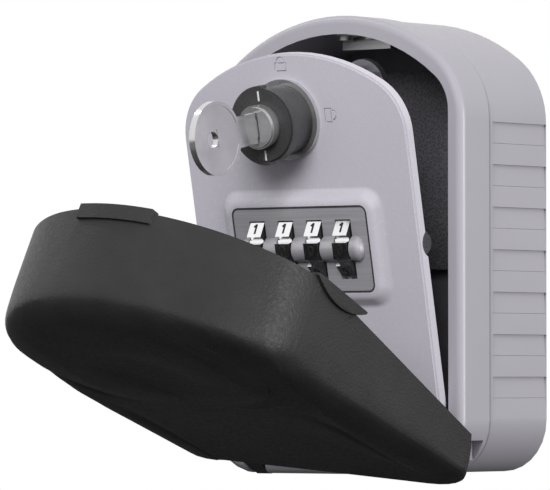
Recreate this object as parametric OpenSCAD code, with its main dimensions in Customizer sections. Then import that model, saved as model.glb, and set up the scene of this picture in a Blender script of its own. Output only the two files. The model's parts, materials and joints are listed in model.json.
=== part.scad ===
// Wall key box with four number wheels, a key lock and a rubber weather cover.
// The origin is on the wall, at the middle of the four wall holes. X is right, Z is up, the front faces -Y.

/* [Case] */
// Width of the case
case_w = 84; // [80:0.5:96]
// Height of the case
case_h = 122; // [118:0.5:140]
// Depth from the wall to the front of the rim
case_d = 40; // [38:0.5:52]
// Wall of the sides and the top
case_wall = 3.6; // [3:0.1:4.2]
// Thickness of the back wall
back_t = 3.6; // [2.6:0.1:4.5]
// Radius of the upper shoulders
shoulder_r = 22; // [20:0.5:25]
// Centre of the shoulders below the top
shoulder_drop = 28.5; // [28:0.5:34]
// Radius of the lower corners
foot_r = 14.4; // [13.5:0.1:16]
// Rounding of the rim's front edge
rim_round = 2.2; // [1.2:0.1:2.6]
// Depth of the smooth band behind the rim
band_d = 12.3; // [12:0.1:14]
// Height of the sill under the door
sill_h = 2.6; // [2:0.1:2.7]
// Lip of the rim in front of the wall's inner face
lip = 0.8; // [0.4:0.1:1.4]
// Lip at the top of the opening
lip_top = 1.4; // [0.8:0.1:2]
// Depth of the lip
lip_d = 1.8; // [1.2:0.1:2.4]
// Number of louvres on each side
louvre_n = 7; // [4:1:7]
// Height of one louvre
louvre_p = 11.2; // [8:0.1:11.4]
// Depth of a louvre at its upper edge
louvre_t = 0.7; // [0.4:0.1:1]
// Upper louvre below the top of the case
louvre_drop = 29; // [29:0.5:34]

/* [Wall holes] */
// Spacing of the wall holes across
hole_dx = 44; // [36:0.5:50]
// Spacing of the wall holes up
hole_dz = 64; // [50:0.5:70]
// Diameter of the wall holes
hole_d = 5.2; // [4.2:0.1:6]
// Free space round a screw head
head_d = 10.4; // [9:0.1:12]
// Thickness of the back lining
lining_t = 1; // [0.6:0.1:1.4]
// Thickness of the pad on the lining
pad_t = 3; // [2:0.1:4]

/* [Hinge] */
// Hinge axis behind the rim's front
hinge_back = 4; // [3.8:0.1:4.4]
// Hinge axis above the underside
hinge_up = 6; // [5.8:0.1:6.4]
// Diameter of the hinge pin
pin_d = 3; // [2.4:0.1:3.2]
// Radius of the hinge knuckles
knuckle_r = 2.7; // [2.4:0.1:2.8]
// Room between the pin and what turns on it
pin_gap = 0.06; // [0.04:0.01:0.1]

/* [Door] */
// Door angle shown, from shut
door_open = 11.5; // [0:0.5:40]
// Room round the door
door_gap = 0.7; // [0.5:0.1:1.2]
// Room over the door
head_gap = 3.2; // [1:0.1:3.5]
// Shoulder radius of the door
door_r = 16; // [12:0.5:18]
// Centre of the door's shoulders below its upper edge
door_drop = 22; // [20:0.5:24]
// Thickness of the door plate
door_t = 3; // [2.4:0.1:3.2]
// Door face in front of the rim
door_proud = 0.4; // [0:0.1:0.8]
// Shoulder radius of the door opening
opening_r = 12; // [10:0.5:15]
// Border of the raised frame beside the dial plate
frame_side = 4.7; // [4:0.1:6.5]
// Height of the raised frame
frame_h = 32.4; // [31:0.2:36]
// Rise of the raised frame
frame_t = 2.2; // [1.6:0.1:2.6]
// Height of the two engraved marks
mark_h = 5; // [4:0.1:6]

/* [Number wheels] */
// Number of wheels
wheel_n = 4; // [3:1:4]
// Distance between wheels as a share of the dial plate's width
pitch_share = 0.213; // [0.207:0.001:0.222]
// Width of a wheel
wheel_w = 4.6; // [4:0.1:4.8]
// Radius of a wheel to its number faces
wheel_r = 9.95; // [9:0.05:10]
// Wheel axis behind the door face
wheel_back = 5; // [4.6:0.1:5.4]
// Wheel axis below the lock's axis
dial_drop = 34.7; // [32.4:0.1:38.4]
// Diameter of the wheel axle
axle_d = 3.2; // [2.6:0.1:3.4]
// Radius of the wheel's bore
wheel_bore = 5.4; // [5:0.1:5.6]
// Radius of the code hub's disc
hub_r = 6.2; // [5.9:0.1:6.3]
// Thickness of the code hub's disc
hub_t = 1.8; // [1.4:0.1:2]
// Travel of the axle when the code is set
reset_travel = 1.6; // [1:0.1:1.8]
// Width of the dial plate as a share of the case's width
plate_share = 0.531; // [0.512:0.001:0.546]
// Height of the dial plate
plate_h = 23; // [22.4:0.2:24.6]
// Radius of the ridge on the dial plate
ridge_r = 3.6; // [3:0.1:4]
// Wall of the dial housing
housing_wall = 2.2; // [1.6:0.1:2.6]
// Room round the wheels
wheel_gap = 0.45; // [0.3:0.05:0.6]

/* [Lock] */
// Lock axis below the door's upper edge
lock_drop = 17.4; // [17.2:0.1:20]
// Lock axis to the left of the middle
lock_left = 1.5; // [0:0.1:3]
// Radius of the turning grip
grip_r = 9.85; // [9:0.05:10.5]
// Length of the turning grip
grip_l = 9.4; // [8:0.1:11]
// Radius of the bright ring on the door
ring_r = 10.8; // [10:0.1:11.5]
// Thickness of the bright ring
ring_t = 1.3; // [0.8:0.1:1.8]
// Radius of the key plug's face
plug_r = 5.85; // [5.2:0.05:6.4]
// Key plug in front of the grip
plug_out = 3; // [1:0.1:4]
// Outer radius of the lock shaft
shaft_r = 5; // [4.8:0.1:5.4]
// Room between turning lock pieces
turn_gap = 0.08; // [0.05:0.01:0.1]
// Throw of the eccentric
throw = 2.6; // [2.2:0.1:2.8]
// Radius of the eccentric disc
ecc_r = 8.2; // [8:0.1:8.6]
// Latch cam from the lock axis to the middle of its round end
cam_l = 14.4; // [13:0.1:14.6]
// Radius of the latch cam's round end
cam_r = 6.6; // [5:0.1:6.8]
// Latch cam behind the door face
cam_back = 18.8; // [18.4:0.1:20]
// Latch cam angle shown
cam_rest = 25; // [10:1:30]
// Radius of the key's bow
bow_r = 9.7; // [8:0.1:10.5]
// Thickness of the key's bow
bow_t = 1.6; // [1.4:0.1:2.4]
// Radius of the hole in the bow
bow_hole = 2.1; // [1.5:0.1:3]
// Free length of the key between the plug and its bow
key_neck = 7.3; // [4:0.1:9]
// Length of the key's blade inside the plug
blade_l = 22; // [16:0.5:24]
// Height of the key's blade
blade_h = 5; // [4:0.1:5.2]
// Thickness of the key's blade
blade_t = 1.9; // [1.6:0.1:2]

/* [Weather cover] */
// Cover angle shown, from shut
cover_open = 63.5; // [30:0.5:95]
// Skew of the soft cover as it hangs open
cover_skew = 2; // [0:0.5:7]
// Reach of the cover's skirt over the case
skirt_in = 15.3; // [10:0.1:16]
// Rise of the cover's skirt towards its end
end_lift = 0.8; // [0:0.1:5]
// Wall of the cover
cover_t = 1.8; // [1.6:0.1:2.4]
// Room between the cover and the case
cover_gap = 0.8; // [0.8:0.1:1.6]
// Depth of the cover in front of the hinge axis, at its deep end
cover_deep = 19; // [18:0.5:25]
// Depth of the cover in front of the hinge axis, at the hinge
cover_shallow = 7.5; // [7:0.1:9]
// Length of the slope between the two depths
cover_slope = 100; // [50:1:110]
// Rounding of the cover's front edge
cover_round = 8.5; // [4:0.5:10]
// Lean of the cover's end wall
cover_lean = 4; // [0:0.5:5]
// Depth over which the front edge rounds over
cover_roll = 7; // [6:0.5:16]
// Extra radius of the cover's shoulders
cover_ease = 6.5; // [2:0.5:8]
// Extra drop of the cover's shoulders
cover_fall = 8.5; // [3:0.5:10]
// Lean of the cover's side walls
cover_side = 2.4; // [1:0.2:4]
// Depth of the oval dimple
dimple_t = 1.4; // [0.6:0.1:2]
// Depth of the side scoops
scoop_t = 3.4; // [1:0.1:4]
// Length of the pull tabs
tab_l = 22; // [14:0.5:26]

/* [Hidden] */
$fn = 64;
e = 0.01;

half_w = case_w / 2;
front = -case_d;
base = -case_h / 2;
hinge_y = front + hinge_back;
hinge_z = base + hinge_up;
pin_r = pin_d / 2;

// door frame: x across, n out of the face from the hinge axis, u up from the hinge axis
door_face = hinge_back + door_proud;
door_back = door_face - door_t;
open_a = half_w - case_wall - lip;
open_top = case_h - case_wall - lip_top;
open_drop = shoulder_drop - case_wall - lip - (shoulder_r - case_wall - lip - opening_r) * 0.5;
open_foot = foot_r - sill_h;
door_a = open_a - door_gap;
door_top = open_top - hinge_up - head_gap;
plate_bottom = 1.8;
door_foot = 12;
lock_x = -lock_left;
lock_u = door_top - lock_drop;

// dial
plate_w = case_w * plate_share;
wheel_p = plate_w * pitch_share;
frame_w = plate_w + 2 * frame_side;
dial_u = lock_u - dial_drop;
wheel_ax = door_face - wheel_back;
wheel_corner = wheel_r / cos(12.5);
wheel_x0 = -(wheel_n - 1) * wheel_p / 2;
plate_t = frame_t - 0.1;
plate_face = door_face + plate_t;
house_in_h = wheel_corner + wheel_gap;
house_in_w = (wheel_n - 1) * wheel_p / 2 + wheel_w / 2 + wheel_p - wheel_w + 1.6;
house_w = house_in_w + housing_wall;
house_h = house_in_h + housing_wall;
house_back = wheel_ax - wheel_corner - 0.95;
cover_plate_t = 1.4;
boss_w = 5;
boss_h = 3.6;
boss_x = house_w - boss_w / 2;
boss_z = house_h + boss_h / 2;
screw_r = 1.2;
hub_x = wheel_w / 2 + 1.1 + hub_t / 2;
button_r = 3.4;
clip_r = axle_d / 2 + 1.3;
button_x0 = house_w + reset_travel + 0.4;
button_x1 = door_a - reset_travel - 0.3;

// lock, along n
grip_0 = door_face + ring_t + 0.2;
grip_1 = grip_0 + grip_l;
plug_face = grip_1 + plug_out;
sleeve_r = 7.5;
sleeve_end = door_back - 5;
nut_t = 3;
ecc_t = 2;
ecc_0 = sleeve_end - 0.4 - ecc_t;
fence_t = 1.6;
fence_n = ecc_0 + ecc_t / 2;
clip_t = 0.8;
shaft_end = ecc_0 - clip_t - 0.8;
plug_body = shaft_r - 0.95;
cam_n = door_face - cam_back;
cam_t = 2;
tail_r = 2.5;
bow_rim = 0.15;
key_slot_h = blade_h + 0.6;
key_slot_w = blade_t + 0.4;
wafer_n = 5;
wafer_t = 0.8;
wafer_p = 2.6;
yoke_room = 0.75;

// cover frame: x across, w out from the hinge axis, u up from the hinge axis
rim_w = hinge_back - skirt_in;
cover_a = half_w + cover_gap + cover_t;
cover_top = case_h - hinge_up + cover_gap + cover_t;
cover_bottom = -3.2;
cover_sh = shoulder_r + cover_gap + cover_t + cover_ease;
cover_dr = shoulder_drop + cover_gap + cover_t + cover_fall;
cover_foot = 8;
crown_w = 4;
edge_t = 2.4;
tab_x = 5;
side_tab_u = cover_top - 47.2;
end_from = cover_top - 53.2;
end_run = 44;
dimple_u = cover_top - 37.2;
scoop_u = cover_top - 65.2;
// slant of the hood's hinge end
cut_mid = 3.3;
cut_slope = 0.1464;
arm_lap = 0.32;
tab_proud = 1;
tab_deep = 3.4;
tab_bow = pow(tab_l, 2) / (8 * tab_deep) + tab_deep / 2;
eye_r = knuckle_r - 0.1;
eye_w = 5;
eye_x = 26.3;
arm_top = 1;
arm_low = -2.4;
slot_room = 0.5;

function arc(cx, cz, r, a0, a1, n) = [for (i = [0:n]) let (a = a0 + (a1 - a0) * i / n) [cx + r * cos(a), cz + r * sin(a)]];
function inner(v) = [for (i = [1:len(v) - 2]) v[i]];

// outline with a flat arch: half width, top, bottom, shoulder radius, shoulder drop, corner radius
function tomb(a, top, bottom, rs, drop, rb) =
  let (k = a - rs, rc = (rs * rs - k * k - drop * drop) / (2 * (rs - drop)), cz = top - rc, zs = top - drop, t = atan2(zs - cz, k))
  concat(arc(a - rb, bottom + rb, rb, -90, 0, 7), arc(k, zs, rs, 0, t, 9), inner(arc(0, cz, rc, t, 180 - t, 18)),
    arc(-k, zs, rs, 180 - t, 180, 9), arc(-(a - rb), bottom + rb, rb, 180, 270, 7));
function tomb_in(d) = tomb(half_w - d, base + case_h - d, base + d, shoulder_r - d, shoulder_drop - d, foot_r - d);
function open_outline(d, z0) = tomb(open_a - d, z0 + open_top - d, z0 + sill_h + d, opening_r - d, open_drop - d, open_foot - d);
function door_outline(d) = tomb(door_a - d, door_top - d, plate_bottom + d, door_r - d, door_drop - d, door_foot);
function box_ring(w, h, r) = concat(arc(w / 2 - r, r - h / 2, r, -90, 0, 5), arc(w / 2 - r, h / 2 - r, r, 0, 90, 5),
  arc(r - w / 2, h / 2 - r, r, 90, 180, 5), arc(r - w / 2, r - h / 2, r, 180, 270, 5));
function at_y(v, y) = [for (p = v) [p[0], y, p[1]]];

// flat outline in x and z, from y0 back to y1
module slab(v, y0, y1) {
  translate([0, y1, 0]) rotate([90, 0, 0]) linear_extrude(height = y1 - y0) polygon(v);
}

// closed skin through rings that run from the front to the back
module loft(rings) {
  np = len(rings[0]);
  nr = len(rings);
  polyhedron(points = [for (r = rings) for (p = r) p],
    faces = concat([[for (i = [np - 1:-1:0]) i]], [[for (i = [0:np - 1]) (nr - 1) * np + i]],
      [for (j = [0:nr - 2]) for (i = [0:np - 1]) let (k = (i + 1) % np) [j * np + i, j * np + k, (j + 1) * np + k, (j + 1) * np + i]]));
}

module rod_x(r, x0, x1) {
  translate([x0, 0, 0]) rotate([0, 90, 0]) cylinder(r = r, h = x1 - x0);
}

module rod_n(r, n0, n1) {
  translate([0, 0, n0]) cylinder(r = r, h = n1 - n0);
}

module block(x0, x1, y0, y1, z0, z1) {
  translate([x0, y0, z0]) cube([x1 - x0, y1 - y0, z1 - z0]);
}

module at_hinge() {
  translate([0, hinge_y, hinge_z]) children();
}

module at_door() {
  at_hinge() rotate([door_open, 0, 0]) children();
}

module at_dial() {
  at_door() translate([0, -wheel_ax, dial_u]) children();
}

// lock frame: x across, y up the door, z out of the door
module at_lock() {
  at_door() translate([lock_x, 0, lock_u]) rotate([90, 0, 0]) children();
}

module at_cover() {
  at_hinge() rotate([cover_open, 0, 0]) children();
}

module on_holes() {
  for (x = [-1, 1], z = [-1, 1]) translate([x * hole_dx / 2, 0, z * hole_dz / 2]) rotate([90, 0, 0]) children();
}

// case

strike_y0 = front + hinge_back - cam_n - cam_t / 2 - 3;
strike_t = 1.8;
strike_w = 16;
strike_seat = base + case_h - case_wall + 0.3;
strike_low = hinge_z + lock_u + cam_l + cam_r - 3.8;
strike_flange = 10;
strike_screw_y = strike_y0 - 3.6;

module louvre_cut(side) {
  s = half_w - 0.5;
  for (i = [0:louvre_n - 1]) let (z = base + case_h - louvre_drop - i * louvre_p) {
    slab([[side * (s + 2), z], [side * (s - louvre_t), z], [side * s, z - louvre_p + 0.4], [side * (s + 2), z - louvre_p + 0.4]],
      front + band_d + 2.3, -1);
    slab([[side * (s + 1), z - louvre_p / 2 + 0.3], [side * (s - louvre_t * 0.8), z - louvre_p / 2], [side * (s + 1), z - louvre_p / 2 - 0.3]],
      front + band_d + 2.3, -1);
  }
}

module case_shell() {
  color("silver") difference() {
    union() {
      difference() {
        loft([at_y(tomb_in(rim_round), front), at_y(tomb_in(rim_round * 0.48), front + rim_round * 0.14),
          at_y(tomb_in(rim_round * 0.14), front + rim_round * 0.48), at_y(tomb_in(0), front + rim_round),
          at_y(tomb_in(0), front + band_d), at_y(tomb_in(1), front + band_d + 0.4), at_y(tomb_in(1), front + band_d + 1.1),
          at_y(tomb_in(0.5), front + band_d + 1.5), at_y(tomb_in(0.5), -1), at_y(tomb_in(1.5), 0)]);
        slab(tomb(half_w - case_wall, base + case_h - case_wall, base + sill_h, shoulder_r - case_wall, shoulder_drop - case_wall,
          foot_r - sill_h), front + lip_d, -back_t);
        slab(open_outline(0, base), front - 1, front + lip_d + e);
        for (side = [-1, 1]) {
          louvre_cut(side);
          // window that shows the hinge
          block(side > 0 ? half_w - 4.6 : -half_w - 2, side > 0 ? half_w + 2 : -half_w + 4.6, front + hinge_back - knuckle_r - 0.3,
            front + hinge_back + 7, hinge_z - 3.4, hinge_z + 3.1);
          // slot in the sill for the cover's hinge arm
          block(side * eye_x - eye_w / 2 - slot_room, side * eye_x + eye_w / 2 + slot_room, front - 1, front + band_d - 0.5,
            base - 1, base + sill_h + 1);
        }
        // flat seat for the strike plate
        block(-strike_w / 2, strike_w / 2, strike_y0 + strike_t - strike_flange, strike_y0 + strike_t, base + case_h - case_wall - 4, strike_seat);
        for (x = [-1, 1]) translate([x * 4.5, strike_screw_y, strike_seat - e]) cylinder(r = screw_r, h = 2);
      }
      for (side = [-1, 1]) at_hinge() rod_x(knuckle_r, side > 0 ? half_w - 4.7 : -half_w + 2.6, side > 0 ? half_w - 2.6 : -half_w + 4.7);
    }
    at_hinge() rod_x(pin_r, -half_w, half_w);
    on_holes() translate([0, 0, -1]) cylinder(r = hole_d / 2, h = back_t + 2);
  }
}

module back_lining() {
  color("#1c1c1f") difference() {
    slab(tomb(half_w - case_wall - 0.4, base + case_h - case_wall - 0.4, base + sill_h + 0.4, shoulder_r - case_wall - 0.4,
      shoulder_drop - case_wall - 0.4, foot_r - sill_h - 0.4), -back_t - lining_t, -back_t);
    on_holes() translate([0, 0, back_t - 1]) cylinder(r = head_d / 2, h = lining_t + 2);
  }
}

module foam_pad() {
  color("#3a3a3e") difference() {
    block(-half_w + case_wall + 9, half_w - case_wall - 9, -back_t - lining_t - pad_t, -back_t - lining_t, -6.4, base + case_h - case_wall - 10);
    on_holes() translate([0, 0, back_t]) cylinder(r = head_d / 2, h = lining_t + pad_t + 2);
  }
}

module strike_plate() {
  color("lightgray") difference() {
    union() {
      block(-strike_w / 2, strike_w / 2, strike_y0 + strike_t - strike_flange, strike_y0 + strike_t, strike_seat - strike_t, strike_seat);
      block(-strike_w / 2, strike_w / 2, strike_y0, strike_y0 + strike_t, strike_low, strike_seat);
    }
    for (x = [-1, 1]) translate([x * 4.5, strike_screw_y, strike_seat - strike_t - 1]) cylinder(r = screw_r, h = strike_t + 2);
  }
}

module strike_screws() {
  color("gray") for (x = [-1, 1]) translate([x * 4.5, strike_screw_y, strike_seat - strike_t]) {
    cylinder(r = screw_r, h = strike_t + 1.8);
    translate([0, 0, -1]) cylinder(r = screw_r * 1.8, h = 1);
  }
}

module hinge_pin() {
  color("gray") at_hinge() rod_x(pin_r, -half_w + 2.8, half_w - 2.8);
}

// door

module mark(open) {
  bw = mark_h * 0.8;
  bh = mark_h * 0.5;
  linear_extrude(height = 1) {
    difference() {
      square([bw, bh], center = true);
      square([bw - 0.8, bh - 0.8], center = true);
    }
    translate([0, bh / 2]) difference() {
      circle(r = bw * 0.38);
      circle(r = bw * 0.38 - 0.45);
      translate([-bw, -bw * 2]) square([bw * 2, bw * 2]);
    }
    translate([-bw * 0.38, bh / 2 - 0.1]) square([0.45, 0.2]);
    if (!open) translate([bw * 0.38 - 0.45, bh / 2 - 0.1]) square([0.45, 0.2]);
  }
}

module wheel_space(r, extra) {
  for (i = [0:wheel_n - 1]) let (x = wheel_x0 + i * wheel_p)
    translate([0, -wheel_ax, dial_u]) rod_x(r, x - wheel_w / 2 - extra, x + wheel_w / 2 + extra);
}

module on_bosses() {
  for (x = [-1, 1], z = [-1, 1]) translate([x * boss_x, 0, dial_u + z * boss_z]) rotate([90, 0, 0]) children();
}

module door_plate() {
  color("silver") at_door() difference() {
    union() {
      difference() {
        union() {
          slab(door_outline(0.5), -door_face, -door_face + 0.5 + e);
          slab(door_outline(0), -door_face + 0.5, -door_back);
        }
        for (side = [-1, 1]) block(side * eye_x - eye_w / 2 - slot_room, side * eye_x + eye_w / 2 + slot_room, -door_face - 1, 1, 0, eye_r + 2.8);
      }
      translate([0, 0, dial_u]) loft([for (q = [[4.4, frame_t], [3.4, frame_t - 0.1], [2.4, frame_t - 0.55], [1.2, 0.5], [0, 0], [0, -1]])
        at_y(box_ring(frame_w - 2 * q[0], frame_h - 2 * q[0], 5.5 - q[0] * 0.6), -door_face - q[1])]);
      for (side = [-1, 1]) {
        rod_x(knuckle_r, side > 0 ? 9 : -22, side > 0 ? 22 : -9);
        block(side > 0 ? 9 : -22, side > 0 ? 22 : -9, -door_face, -door_back + 1, 0.9, plate_bottom + 2);
      }
    }
    rod_x(pin_r + pin_gap, -half_w, half_w);
    // seat for the dial plate and the window behind it
    slab([for (p = box_ring(plate_w + 0.3, plate_h + 0.3, 2.2)) [p[0], p[1] + dial_u]], -door_face - frame_t - 1, -door_face);
    block(-house_in_w + 1.4, house_in_w - 1.4, -door_face - 1, 1, dial_u - house_in_h, dial_u + house_in_h);
    // room behind the plate for the axle's button and clip
    translate([0, -wheel_ax, dial_u]) {
      rod_x(button_r + 0.4, house_w + 0.3, button_x1 + reset_travel + 0.4);
      rod_x(clip_r + 0.4, -house_w - reset_travel - 2, -house_w - 0.1);
    }
    translate([lock_x, 0, lock_u]) rotate([90, 0, 0]) rod_n(sleeve_r, -1, door_face + 1);
    on_bosses() rod_n(screw_r, door_back - 1, door_back + 2);
    translate([lock_x, -door_face + 0.35, lock_u + ring_r + mark_h * 0.62]) rotate([90, 0, 0]) mark(true);
    translate([lock_x + ring_r + mark_h * 0.6, -door_face + 0.35, lock_u + 0.6]) rotate([90, 0, 0]) rotate([0, 0, -90]) mark(false);
  }
}

// half outline of the ridge, with rounded ends
function ridge_outline() = let (l = plate_w / 2 - 1.6 - ridge_r * 0.7)
  concat([[0, -l - ridge_r * 0.7]], [for (a = [-75:15:0]) [ridge_r * cos(a), -l + ridge_r * 0.7 * sin(a)]],
    [for (a = [0:15:75]) [ridge_r * cos(a), l + ridge_r * 0.7 * sin(a)]], [[0, l + ridge_r * 0.7]]);

module dial_faceplate() {
  color("#b4b4b8") at_door() difference() {
    union() {
      slab([for (p = box_ring(plate_w, plate_h, 2)) [p[0], p[1] + dial_u]], -plate_face, -door_face);
      translate([0, -plate_face + ridge_r * 0.32, dial_u]) difference() {
        rotate([0, 90, 0]) rotate_extrude() polygon(ridge_outline());
        block(-plate_w, plate_w, -ridge_r * 0.32 + plate_t, plate_w, -plate_w, plate_w);
      }
    }
    wheel_space(wheel_corner + wheel_gap, 0.3);
    // room behind the plate for the code hubs
    translate([0, -wheel_ax, dial_u]) for (i = [0:wheel_n - 1]) let (x = wheel_x0 + i * wheel_p + hub_x)
      rod_x(hub_r + 0.35, x - hub_x + wheel_w / 2, x + hub_t / 2 + reset_travel + 0.3);
  }
}

module dial_housing() {
  color("#2a2a2d") at_door() difference() {
    union() {
      block(-house_w, house_w, -door_back, -house_back, dial_u - house_h, dial_u + house_h);
      for (x = [-1, 1], z = [-1, 1]) translate([x * boss_x, 0, dial_u + z * boss_z])
        block(-boss_w / 2, boss_w / 2, -door_back, -house_back, -boss_h / 2 - e, boss_h / 2 + e);
    }
    block(-house_in_w, house_in_w, -door_back - 1, -house_back + 1, dial_u - house_in_h, dial_u + house_in_h);
    translate([0, -wheel_ax, dial_u]) rod_x(axle_d / 2 + pin_gap, -house_w - 1, house_w + 1);
    for (i = [0:wheel_n - 1]) let (x = wheel_x0 + i * wheel_p + hub_x)
      block(x - 0.85, x + 0.85, -fence_n - fence_t / 2 - 0.25, -fence_n + fence_t / 2 + 0.25, dial_u, dial_u + house_h + 1);
    on_bosses() rod_n(screw_r, house_back - 1, door_back + 1);
  }
}

module housing_cover() {
  color("#a0a0a4") at_door() difference() {
    union() {
      block(-house_w, house_w, -house_back, -house_back + cover_plate_t, dial_u - house_h, dial_u + house_h);
      for (x = [-1, 1], z = [-1, 1]) translate([x * boss_x, 0, dial_u + z * boss_z])
        block(-boss_w / 2, boss_w / 2, -house_back, -house_back + cover_plate_t, -boss_h / 2 - e, boss_h / 2 + e);
    }
    on_bosses() rod_n(screw_r, house_back - cover_plate_t - 1, house_back + 1);
  }
}

module housing_screws() {
  color("gray") at_door() on_bosses() {
    rod_n(screw_r, house_back - cover_plate_t, door_back + 1.8);
    rod_n(screw_r * 1.5, house_back - cover_plate_t - 1.3, house_back - cover_plate_t);
  }
}

module detent_spring() {
  t = 0.4;
  color("lightgray") at_door() {
    block(wheel_x0 - wheel_w / 2, -wheel_x0 + wheel_w / 2, -house_back - t, -house_back, dial_u - house_in_h + 0.3, dial_u - house_in_h + 2.6);
    for (i = [0:wheel_n - 1]) let (x = wheel_x0 + i * wheel_p)
      block(x - 1.6, x + 1.6, -house_back - t, -house_back, dial_u - house_in_h + 2.6 - e, dial_u + 4);
  }
}

module lock_sleeve() {
  color("whitesmoke") at_lock() difference() {
    union() {
      rod_n(ring_r, door_face, door_face + ring_t);
      rod_n(sleeve_r, sleeve_end, door_face + e);
    }
    rod_n(shaft_r + turn_gap, sleeve_end - 1, door_face + ring_t + 1);
  }
}

module sleeve_nut() {
  color("gray") at_lock() difference() {
    translate([0, 0, door_back - nut_t]) cylinder(r = sleeve_r + 3.2, h = nut_t, $fn = 6);
    rod_n(sleeve_r, door_back - nut_t - 1, door_back + 1);
  }
}

// number wheels and code hubs

function wheel_outline() = [for (k = [0:9]) for (q = [[wheel_corner, -12.5], [wheel_corner, 12.5], [wheel_r - 1.25, 16], [wheel_r - 1.25, 20]])
  [q[0] * cos(k * 36 + q[1]), q[0] * sin(k * 36 + q[1])]];

module number_wheel(i) {
  x = wheel_x0 + i * wheel_p;
  if (i < wheel_n) color("gainsboro") at_dial() translate([x - wheel_w / 2, 0, 0]) rotate([0, 90, 0]) difference() {
    linear_extrude(height = wheel_w) rotate([0, 0, 90]) polygon([for (p = wheel_outline()) [-p[0], p[1]]]);
    translate([0, 0, -1]) cylinder(r = wheel_bore, h = wheel_w + 2);
  }
}

module number_wheel_1() number_wheel(0);
module number_wheel_2() number_wheel(1);
module number_wheel_3() number_wheel(2);
module number_wheel_4() number_wheel(3);

module wheel_axle() {
  color("gray") at_dial() rod_x(axle_d / 2, -house_w - reset_travel - 1.6, button_x0 + 4);
}

module code_hub(i) {
  x = wheel_x0 + i * wheel_p;
  y = wheel_ax - fence_n;
  if (i < wheel_n) color("goldenrod") at_dial() difference() {
    union() {
      rod_x(wheel_bore - 0.1, x - wheel_w / 2 + 0.2, x + hub_x);
      rod_x(hub_r, x + hub_x - hub_t / 2, x + hub_x + hub_t / 2);
    }
    rod_x(axle_d / 2, x - wheel_p, x + wheel_p);
    // gate for the fence
    block(x + hub_x - reset_travel - 1.2, x + hub_x + hub_t, y - fence_t / 2 - 0.35, y + fence_t / 2 + 0.35, 3, hub_r + 1);
  }
}

module code_hub_1() code_hub(0);
module code_hub_2() code_hub(1);
module code_hub_3() code_hub(2);
module code_hub_4() code_hub(3);

module reset_button() {
  color("#303034") at_dial() difference() {
    union() {
      rod_x(button_r, button_x0, button_x1 - 0.8);
      rod_x(button_r - 0.7, button_x0, button_x1);
    }
    rod_x(axle_d / 2, button_x0 - 1, button_x0 + 4);
    translate([button_x0 + 2.2, 0, 0]) rotate([0, 90, 0]) rotate_extrude() translate([button_r, 0]) circle(r = 0.7, $fn = 24);
  }
}

module axle_clip() {
  color("gray") at_dial() difference() {
    rod_x(clip_r, -house_w - reset_travel - 0.9, -house_w - reset_travel - 0.2);
    rod_x(axle_d / 2, -house_w - reset_travel - 2, -house_w);
  }
}

module fence_plate() {
  tip = dial_u + 3.7;
  bar = dial_u + house_h + 1.2;
  yw = ecc_r + throw + 0.4;
  yh = ecc_r + yoke_room;
  yc = lock_u - throw;
  x0 = wheel_x0 + hub_x - 1.2;
  x1 = -wheel_x0 + hub_x + 1.2;
  y0 = -fence_n - fence_t / 2;
  y1 = -fence_n + fence_t / 2;
  color("lightsteelblue") at_door() {
    difference() {
      union() {
        block(x0, x1, y0, y1, bar, bar + 2.6);
        block(lock_x - yw - 1.8, lock_x + yw + 1.8, y0, y1, bar + 1, yc + yh + 1.8);
        for (i = [0:wheel_n - 1]) let (x = wheel_x0 + i * wheel_p + hub_x) block(x - 0.6, x + 0.6, y0, y1, tip, bar + 1);
      }
      block(lock_x - yw, lock_x + yw, y0 - 1, y1 + 1, yc - yh, yc + yh);
    }
  }
}

// lock

module knob_grip() {
  color("#18181a") at_lock() difference() {
    union() {
      rod_n(grip_r - 0.5, grip_0, grip_1);
      rod_n(grip_r, grip_0 + grip_l * 0.62, grip_1 - 0.5);
      rod_n(grip_r - 0.5, grip_1 - 0.6, grip_1);
      // raised half of the front collar
      intersection() {
        rod_n(grip_r + 0.7, grip_0 + grip_l * 0.7, grip_1 - 0.3);
        block(-grip_r * 2, 0.8, -grip_r * 2, grip_r * 2, grip_0, grip_1);
      }
    }
    rod_n(shaft_r, grip_0 - 1, grip_1 + 1);
    rod_n(plug_r + turn_gap, grip_1 - 2.4, grip_1 + 1);
  }
}

module knob_shaft() {
  color("gray") at_lock() difference() {
    rod_n(shaft_r, shaft_end, grip_1 - 2.4);
    rod_n(plug_body + turn_gap, shaft_end - 1, grip_1);
  }
}

module eccentric_disc() {
  color("gray") at_lock() difference() {
    translate([0, -throw, 0]) rod_n(ecc_r, ecc_0, ecc_0 + ecc_t);
    rod_n(shaft_r, ecc_0 - 1, ecc_0 + ecc_t + 1);
  }
}

module shaft_clip() {
  color("lightgray") at_lock() difference() {
    rod_n(shaft_r + 1.8, ecc_0 - clip_t, ecc_0);
    rod_n(shaft_r, ecc_0 - 2, ecc_0 + 1);
  }
}

module wafer_spots() {
  for (i = [0:wafer_n - 1]) translate([0, 0, grip_1 - 5 - i * wafer_p]) children();
}

module key_plug() {
  color("gainsboro") at_lock() difference() {
    union() {
      rod_n(plug_r, grip_1 - 2.3, plug_face - 0.5);
      rod_n(plug_r - 0.5, plug_face - 0.6, plug_face);
      rod_n(plug_body, shaft_end - 0.6, grip_1 - 2);
      rod_n(tail_r, cam_n - cam_t / 2 - 0.3, shaft_end);
    }
    translate([0, 0, plug_face - blade_l - 1]) block(-key_slot_w / 2, key_slot_w / 2, -key_slot_h / 2, key_slot_h / 2, 0, blade_l + 2);
    wafer_spots() block(-2.25, 2.25, -3.3, 3.3, -0.05, wafer_t + 0.05);
    rod_n(screw_r, cam_n - 4, cam_n + 3);
  }
}

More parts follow.
